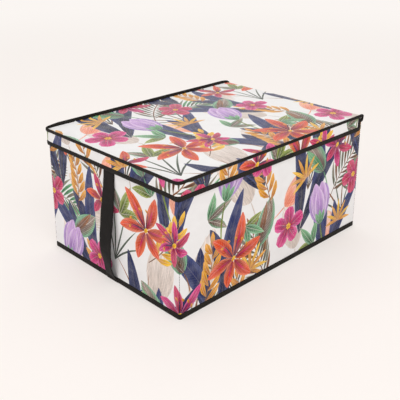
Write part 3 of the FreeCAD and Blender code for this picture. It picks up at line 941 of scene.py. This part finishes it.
# Binding tapes. They bulge a little where the layers are thick, and wander as hand-fed tape does.

tapeLook = {"thickness": 0.55, "puff": 0.32, "gap": 9.0, "wander": 0.16}


def wander(distance, seed):
    return tapeLook["wander"] * noise.noise(Vector((distance / 24, seed, 0)))


def tapePiece(name, bm, body, replaced):
    addPiece(name, bm, tapeWeave, "edge_tape", body, replaced)


# Base tape: up the wall and turned under, with its ends lapped at the middle of the hinge end
baseTape = {"height": nodeBox("base_binding")[1].z + 0.4, "under": 8.0, "turnUnder": 1.6, "lap": 14.0,
            "lapRise": 0.8, "strapBump": 0.7, "strapReach": 14.0, "cornerRadius": 3.6, "out": 0.88,
            "turn": 0.9, "thick": 0.45, "underInset": 0.8}
tapeHeight = baseTape["height"]
tapeWalk = walkOutline(bodyLow.x, bodyHigh.x, bodyHigh.y, baseTape["cornerRadius"], True)
tapeRound = walkLength(tapeWalk)
strapLow, strapHigh = nodeBox("handle_strap")
strapMiddle = (strapLow.y + strapHigh.y) / 2
strapStop = tapeRound + tapeWalk[2]["start"] + tapeWalk[2]["first"].y - strapMiddle - 2
lapStart = tapeWalk[6]["start"] + tapeWalk[6]["length"] / 2
lapEnd = lapStart + tapeRound + baseTape["lap"]


def baseProfile(b=baseTape):
    out, turn, inner = b["out"], b["turn"], -b["turnUnder"]
    profile = [(0.1, tapeHeight), (0.5, tapeHeight - 0.15), (0.72, tapeHeight - 1.2),
               (0.86, tapeHeight * 0.6), (out, tapeHeight * 0.35)]
    for angle in [math.pi / 10 * i for i in range(1, 6)]:
        profile.append((out - turn * (1 - math.cos(angle)), turn - turn * math.sin(angle)))
    return profile + [(inner, 0.0), (inner, b["thick"]), (-0.25, 0.5), (0, 0.75), (0, tapeHeight)]


# How far the tape stands off the wall where it laps itself and where it goes over the strap's end
def baseLift(distance, b=baseTape):
    lapped = clamp((distance - lapEnd + b["lap"] + 3) / 3) * b["lapRise"]
    over = clamp((b["strapReach"] - abs(distance - strapStop)) / 3) * b["strapBump"]
    return lapped + over + 0.4 * wander(distance, 3.0)


def baseBand(b=baseTape):
    stops = walkStops(tapeWalk, lapStart, lapEnd, tapeLook["gap"], 6)
    stops += [strapStop + side * (b["strapReach"] - k) for side in (-1, 1) for k in (0, 1, 2, 3)]
    stops += [lapEnd - b["lap"] - k for k in (0, 1, 2, 3)]
    bm = sweep(baseProfile(), [(edgeFrame(tapeWalk, s, 0, out=baseLift(s)), s) for s in sorted(stops)])
    size = Matrix.Diagonal(((bodyHigh.x - b["underInset"]) * mm, (bodyHigh.y - b["underInset"]) * mm, 1, 1))
    grid = bmesh.ops.create_grid(bm, x_segments=1, y_segments=1, size=1,
                                 matrix=Matrix.Translation((0, 0, 0.02 * mm)) @ size)["verts"]
    middle = grid[0].link_faces[0]
    bmesh.ops.inset_region(bm, faces=[middle], use_even_offset=True,
                           thickness=(b["under"] - b["underInset"]) * mm)
    band = [f for f in bm.faces if set(f.verts) & set(grid) and f is not middle]
    bmesh.ops.delete(bm, geom=[middle], context="FACES_ONLY")
    grown = bmesh.ops.extrude_face_region(bm, geom=band)["geom"]
    bmesh.ops.translate(bm, vec=up * b["thick"] * mm,
                        verts=[g for g in grown if isinstance(g, bmesh.types.BMVert)])
    return bm


tapePiece("base_tape", baseBand(), "box", "base_binding")

# Mouth tape: over the top edge of the three walls that the lid doesn't hinge on
mouthTape = {"thickness": 0.5, "puff": 0.2, "fold": 0.5}
mouthLow, mouthHigh = nodeBox("mouth_binding")
mouthLeg = mouthHigh.z - mouthLow.z - mouthTape["fold"]
mouthStart = bodyWalk[0]["first"].x - mouthHigh.x
mouthEnd = bodyWalk[4]["start"] + mouthHigh.x - bodyWalk[4]["first"].x
wallStack = bodyHigh.y - (nodeBox("inner_lining")[1].y - clothThick)
mouthBand = sweep(foldedTape(wallStack, mouthLeg, mouthLeg, **mouthTape), [
    (edgeFrame(bodyWalk, s, bodyHigh.z + 0.05, inUp=-1, out=0.3 * wander(s, 5.0)), s)
    for s in walkStops(bodyWalk, mouthStart, mouthEnd, tapeLook["gap"], 6)])
tapePiece("mouth_tape", mouthBand, "box", "mouth_binding")

# Rim tape: along the rim's lower edge and up both of its ends
rimTape = {"leg": 6.2, "cornerRadius": 2.2, "fold": 0.75}
rimStack = rimHigh.y - (nodeBox("rim_lining")[1].y - clothThick)
riseTop = lidTop - 0.6


def rimStation(s, z, inAlong, inUp):
    sag = rimSag(s)
    heavy = Matrix.Diagonal((1, 1 + 0.12 * sag, 1 + 0.08 * sag, 1))
    return edgeFrame(rimWalk, s, z - sag, inAlong, inUp, 0.5 * wander(s + z, 7.0) + rimDraw(s)) @ heavy


# From the lid down one end of the rim and round its lower corner
def rimRise(end, way, steps=5):
    turn = rimTape["cornerRadius"]
    foot = rimFoot + turn
    rise = [rimStation(end, riseTop + (foot - riseTop) * i / (steps - 1), way, 0) for i in range(steps)]
    for angle in [math.pi / 2 * i / steps for i in range(1, steps)]:
        rise.append(rimStation(end + way * turn * (1 - math.cos(angle)), foot - turn * math.sin(angle),
                               way * math.cos(angle), math.sin(angle)))
    return rise


def rimBand():
    turn = rimTape["cornerRadius"]
    along = [rimStation(s, rimFoot + 0.3 * wander(s, 11.0), 0, 1)
             for s in walkStops(rimWalk, turn, rimLength - turn, tapeLook["gap"])]
    frames = rimRise(0, 1) + along + rimRise(rimLength, -1)[::-1]
    distances = [0.0]
    for before, after in zip(frames, frames[1:]):
        distances.append(distances[-1] + (after.translation - before.translation).length)
    profile = foldedTape(rimStack, rimTape["leg"], rimTape["leg"], tapeLook["thickness"], tapeLook["puff"],
                         rimTape["fold"])
    return sweep(profile, list(zip(frames, distances)))


tapePiece("rim_tape", rimBand(), "lid", "rim_edge_binding")

# Standing seam: the fin that the tape makes along three edges of the lid. It stands highest on the left,
# is drawn in at the far front corner and bends out at the near one.
finFold = {"outerLeg": 3.6, "innerLeg": 2.6, "fold": 1.1, "thickness": 0.75, "puff": 0.25}
finTape = {"lean": 0.12, "twist": 0.2, "out": 0.35, "aside": 0.6, "upAndDown": 0.8,
           "leftRise": 1.8, "stop": 4.0,
           "bends": ((1, 0.5, -1.0, 12.0), (1, 0.5, 0.6, 4.0), (3, -0.2, 1.2, 4.5), (3, 1.0, 0.6, 4.0))}
finTop = rimHigh.z - 0.1
finLength = walkLength(finWalk)


def finStation(s, f=finTape):
    bend = 0.0
    for corner, share, out, reach in f["bends"]:
        middle = finWalk[corner]["start"] + finWalk[corner]["length"] * share
        bend += out * fade(abs(s - middle), reach)
    rise = f["leftRise"] * clamp(min((finWalk[1]["start"] - s) / 30 + 0.4, s / 14))
    out = f["out"] + bend + f["aside"] * wander(s, 13.0)
    top = finTop + rise + f["upAndDown"] * wander(s, 17.0)
    place = edgeFrame(finWalk, s, top, inUp=-1, out=out)
    tall = Matrix.Diagonal((1, 1, 1 + rise / finFold["innerLeg"], 1))
    return place @ Matrix.Rotation(f["lean"] + bend * f["twist"], 4, "X") @ tall, s


finStops = walkStops(finWalk, finTape["stop"], finLength - finTape["stop"], tapeLook["gap"])
finBand = sweep(foldedTape(2 * clothThick, **finFold), [finStation(s) for s in finStops])
tapePiece("lid_tape", finBand, "lid", "lid_edge_binding")

# At a hinge corner the tape's end is folded down into a fat round loop and caught in the seam
loopLook = {"radius": 2.4, "thick": 4.4, "width": 3.8, "tail": 2.6, "lead": 7.0, "out": 1.5, "reach": 0.9,
            "droop": 1.7, "lean": 2.4}


# The loop's path in (x, z), with the way it heads
def loopPath(c=loopLook):
    centreX = rimHigh.x + c["reach"] - c["radius"] - c["thick"] / 2
    top = finTop + finFold["fold"] - 0.15 - c["thick"] / 2
    fall = 2 * c["radius"] * c["droop"]
    path = [(centreX - c["lead"], top + 0.6, 0), (centreX - c["lead"] / 2, top + 0.3, 0)]
    for angle in [math.pi * i / 12 for i in range(13)]:
        below = (1 - math.cos(angle)) / 2
        reach = c["radius"] * (1 + 0.08 * math.sin(3 * angle)) * math.sin(angle)
        path.append((centreX + reach - c["lean"] * below ** 2, top - fall * below, angle))
    return path + [(centreX - c["tail"] - c["lean"], top - fall + 1.2, math.pi)]


def tapeLoop(side, c=loopLook):
    profile = []
    for angle in [math.pi / 8 * i for i in range(16)]:
        profile.append([half * math.copysign(abs(way) ** 0.6, way) for half, way in
                        ((c["width"] / 2, math.cos(angle)), (c["thick"] / 2, math.sin(angle)))])
    y = side * (rimHigh.y - c["width"] / 2 + c["out"])
    stations = []
    for i, (x, z, angle) in enumerate(loopPath()):
        ahead = Vector((math.cos(angle), 0, -math.sin(angle)))
        outward = Vector((0, 1, 0))
        slim = Matrix.Diagonal((1, 1, min(1, 0.6 + 0.2 * i), 1))
        place = frameAt((x, y + 0.25 * math.sin(i), z), ahead, outward, ahead.cross(outward))
        stations.append((place @ slim, 1.3 * i))
    return sweep(profile, stations)


for side, sideName in ((-1, "right"), (1, "left")):
    tapePiece("tape_loop_" + sideName, tapeLoop(side), "lid", "lid_edge_binding")
print("edges bound")

# Handle: webbing that hangs from the mouth tape, bows out and comes back in under the base tape

strapLook = {"width": strapHigh.y - strapLow.y, "thickness": 1.3, "edge": 0.55, "steps": 7,
             "route": [(0.7, 184.5), (0.7, 176), (1.2, 164), (2.5, 150), (4.2, 130), (6.6, 110), (8.9, 90),
                       (11.6, 72), (12.2, 57), (10.9, 44), (8.6, 32), (6.2, 21), (4.3, 13), (2.1, 8.2),
                       (0.9, 4.5)],
             "creases": ((146, 3.0, 0.5), (128, 2.2, -0.3), (52, 3.0, 0.35)),
             "twists": ((104, 34.0, -6.0), (26, 17.0, 12.0)), "sway": 0.35, "swayPitch": 30,
             "drift": 3.2, "driftFrom": 64.0, "driftOver": 34.0, "topDrift": -1.2, "upperFrom": 110,
             "upperOver": 50, "narrow": 0.06}


# Catmull-Rom curve through points, with a few steps from each to the next
def smoothThrough(points, steps):
    ends = [points[0] * 2 - points[1], *points, points[-1] * 2 - points[-2]]
    curve = []
    for i in range(1, len(ends) - 2):
        a, b, c, d = ends[i - 1:i + 3]
        for k in range(steps):
            t = k / steps
            curve.append(0.5 * (2 * b + (c - a) * t + (2 * a - 5 * b + 4 * c - d) * t * t
                                + (3 * b - a - 3 * c + d) * t ** 3))
    return curve + [points[-1]]


def strapStations(s=strapLook):
    curve = smoothThrough([Vector(p) for p in s["route"]], s["steps"])
    side = Vector((0, 1, 0))
    stations = []
    distance = 0.0
    for i, spot in enumerate(curve):
        if i:
            distance += (spot - curve[i - 1]).length
        way = (curve[min(i + 1, len(curve) - 1)] - curve[max(i - 1, 0)]).normalized()
        ahead = Vector((-way.x, 0, way.y))
        outward = side.cross(ahead)
        outward = outward if outward.x < 0 else -outward
        upper = clamp((spot.y - s["upperFrom"]) / s["upperOver"])
        sway = s["sway"] * noise.noise(Vector((distance / s["swayPitch"], 4.0, 0))) + s["topDrift"] * upper
        sway += s["drift"] * clamp((s["driftFrom"] - spot.y) / s["driftOver"])
        pinch = sum(depth * bell(spot.y - z, reach) for z, reach, depth in s["creases"])
        twist = sum(angle * bell(spot.y - z, reach) for z, reach, angle in s["twists"])
        place = Vector((bodyLow.x - spot.x, strapMiddle + sway, spot.y)) - outward * pinch
        turned = Matrix.Translation(place) @ Matrix.Rotation(math.radians(twist), 4, ahead)
        across = side * (1 - s["narrow"] * upper)
        stations.append((turned @ frameAt((0, 0, 0), ahead, outward, across), distance))
    return stations


def strapProfile(s=strapLook, columns=10):
    half = s["width"] / 2
    edge = s["edge"] / 2
    front = []
    for share in [2 * i / columns - 1 for i in range(columns + 1)]:
        front.append((s["thickness"] / 2 * (1 - 0.12 * share ** 2), half * share * 0.975))
    back = [(-out, aside) for out, aside in reversed(front)]
    return front + [(edge, half), (-edge, half)] + back + [(-edge, -half), (edge, -half)]


strapBand = sweep(strapProfile(), strapStations())
addPiece("handle_webbing", strapBand, webbingWeave, "webbing", "box", "handle_strap")
print("handle sewn on")

# Stitches: lock stitch along every seam

stitchLook = {"length": 2.7, "pitch": 3.4, "thickness": 0.5, "cornerLength": 3.6, "cornerPitch": 3.8,
              "tackPitch": 3.0}

# How far each row lies from the edge it follows, and how far it stands out
rowInset = {"base": 1.6, "mouth": 1.5, "rim": 1.4, "lid": 1.9, "leafFoot": 1.6, "leafTop": 1.8}
rowOut = {"base": 0.74, "mouth": 0.62, "rim": 0.76, "lid": 0.78, "corner": -0.05, "leaf": 0.1, "tack": 0.15}


def stitchPiece(name, frames, body, replaced, length=stitchLook["length"]):
    bm = bmesh.new()
    stitchRow(bm, frames, length, stitchLook["thickness"])
    bmesh.ops.transform(bm, matrix=Matrix.Scale(mm, 4), verts=bm.verts)
    addPiece(name, bm, thread, "thread", body, replaced)


def alongTape(first, last):
    return evenly(first, last, stitchLook["pitch"])


def onHandleEnd(y, z, out):
    run = bodyWalk[2]
    return edgeFrame(bodyWalk, run["start"] + run["first"].y - y, z, out=out)


upright = Matrix.Rotation(math.pi / 2, 4, "Y")
baseRow = [edgeFrame(tapeWalk, s, tapeHeight - rowInset["base"], out=rowOut["base"] + baseLift(s))
           for s in alongTape(lapStart, lapStart + tapeRound)]
mouthRow = [edgeFrame(bodyWalk, s, mouthLow.z + rowInset["mouth"], out=rowOut["mouth"])
            for s in alongTape(mouthStart, mouthEnd)]
rimSeam = rimFoot + rimTape["leg"] - rowInset["rim"]
rimRow = [edgeFrame(rimWalk, s, rimSeam - rimSag(s), out=rowOut["rim"] + rimDraw(s))
          for s in alongTape(2, rimLength - 2)]
lidRow = [finStation(s)[0] @ Matrix.Translation((0, rowOut["lid"], rowInset["lid"]))
          for s in alongTape(1, finLength - 9)]
seamHeights = evenly(tapeHeight + 0.5, mouthLow.z - 0.5, stitchLook["cornerPitch"])
cornerRows = [edgeFrame(bodyWalk, s, z, out=rowOut["corner"]) @ upright for s in seams for z in seamHeights]
leafFace = leafHigh.x - bodyHigh.x + rowOut["leaf"]
leafStart = bodyWalk[6]["start"] - bodyWalk[6]["first"].y
leafRows = [edgeFrame(bodyWalk, s, z, out=leafFace)
            for z in (leafLow.z + rowInset["leafFoot"], bodyHigh.z - rowInset["leafTop"])
            for s in alongTape(leafStart + leafLow.y, leafStart + leafHigh.y)]
tackLow, tackHigh = nodeBox("handle_stitching")
tackFace = bodyLow.x - tackHigh.x + rowOut["tack"]
tackBox = [onHandleEnd(y, z, tackFace) for z in (tackLow.z, tackHigh.z)
           for y in evenly(tackLow.y, tackHigh.y, stitchLook["tackPitch"])]
tackBox += [onHandleEnd(y, z, tackFace) @ upright for y in (tackLow.y, tackHigh.y)
            for z in evenly(tackLow.z, tackHigh.z, stitchLook["tackPitch"])]
stitchPiece("base_stitches", baseRow, "box", "base_stitching")
stitchPiece("mouth_stitches", mouthRow, "box", "mouth_stitching")
stitchPiece("rim_stitches", rimRow, "lid", "rim_stitching")
stitchPiece("lid_stitches", lidRow, "lid", "lid_stitching")
stitchPiece("corner_stitches", cornerRows, "box", "corner_stitching", stitchLook["cornerLength"])
stitchPiece("hinge_stitches", leafRows, "box", "hinge_stitching")
stitchPiece("handle_stitches", tackBox, "box", "handle_stitching")
print("stitched")

# The CAD pieces that stay as they are take their finishes
finishes = (
    (lining, ["inner_lining", "lid_lining", "rim_lining", "insert_cover"]),
    (baseCloth, ["base_cover"]),
    (greyBoard, ["wall_board_handle_end", "wall_board_hinge_end", "wall_board_left", "wall_board_right",
                 "insert_board", "lid_board"]),
    (brownCard, ["rim_board_handle_end", "rim_board_left", "rim_board_right"]),
)
for finish, names in finishes:
    for materialSlot in [m for name in names for m in nodes[name].material_slots]:
        materialSlot.material = finish

# Stage and light

stageLook = {"floor": "#f5f0ed", "glow": 0.5, "glowColour": "#fbf6f2", "size": 60.0,
             "near": 0.7, "far": 2.6, "world": 0.74, "worldSeen": 1.0}


# 1 for rays that show the stage itself, 0 for the rays that light the box
def seenShare(add):
    rays = add("LightPath")
    seen = add("Math", {"operation": "MAXIMUM"},
               {0: rays.outputs["Is Camera Ray"], 1: rays.outputs["Is Glossy Ray"]})
    return add("Math", {"operation": "MAXIMUM"}, {0: seen, 1: rays.outputs["Is Transmission Ray"]})


def paleFloor(look=stageLook):
    material, add, shader = startMaterial("pale studio floor", {
        "Base Color": hexColour(look["floor"]), "Roughness": 0.9, "Specular IOR Level": 0.1})
    away = add("VectorMath", {"operation": "LENGTH"}, {0: add("NewGeometry")})
    spread = add("MapRange", {"interpolation_type": "SMOOTHSTEP", 1: look["near"], 2: look["far"],
                              3: look["glow"], 4: 1.0}, {0: away.outputs["Value"]})
    share = add("Math", {"operation": "MULTIPLY"}, {0: seenShare(add), 1: spread})
    glow = add("Emission", {"Color": hexColour(look["glowColour"]), "Strength": 1.0})
    both = add("MixShader", links={0: share, 1: shader, 2: glow})
    add(material.node_tree.nodes["Material Output"], links={"Surface": both})
    return material


floorMesh = bmesh.new()
bmesh.ops.create_grid(floorMesh, x_segments=1, y_segments=1, size=stageLook["size"] / 2)
floorData = bpy.data.meshes.new("floor")
floorMesh.to_mesh(floorData)
floorMesh.free()
floorData.materials.append(paleFloor())
newObject("floor", floorData)

world = bpy.data.worlds.new("studio")
bpy.context.scene.world = world
world.use_nodes = True
addSky = partial(addNode, world.node_tree)
strength = addSky("MapRange", {3: stageLook["world"], 4: stageLook["worldSeen"]}, {0: seenShare(addSky)})
background = world.node_tree.nodes["Background"]
addSky(background, {"Color": hexColour(stageLook["glowColour"])}, {"Strength": strength})

# Soft panels: place, size in metres, watts, and the point they face
lamps = {
    "key": {"place": (-0.7, -2.2, 1.8), "size": 1.8, "power": 25, "aim": (0, 0, 0.08)},
    "fill": {"place": (-2.3, 0.5, 1.1), "size": 1.8, "power": 11.5, "aim": (0, 0, 0.08)},
    "top": {"place": (0.4, 0.6, 2.2), "size": 1.6, "power": 11, "aim": (0, 0, 0.1)},
}
for lampName, look in lamps.items():
    lamp = newObject(lampName, bpy.data.lights.new(lampName, "AREA"))
    lamp.data.size = look["size"]
    lamp.data.energy = look["power"]
    lamp.location = look["place"]
    lamp.rotation_euler = (Vector(look["aim"]) - Vector(look["place"])).to_track_quat("-Z", "Y").to_euler()

bpy.context.scene.view_settings.view_transform = "Standard"
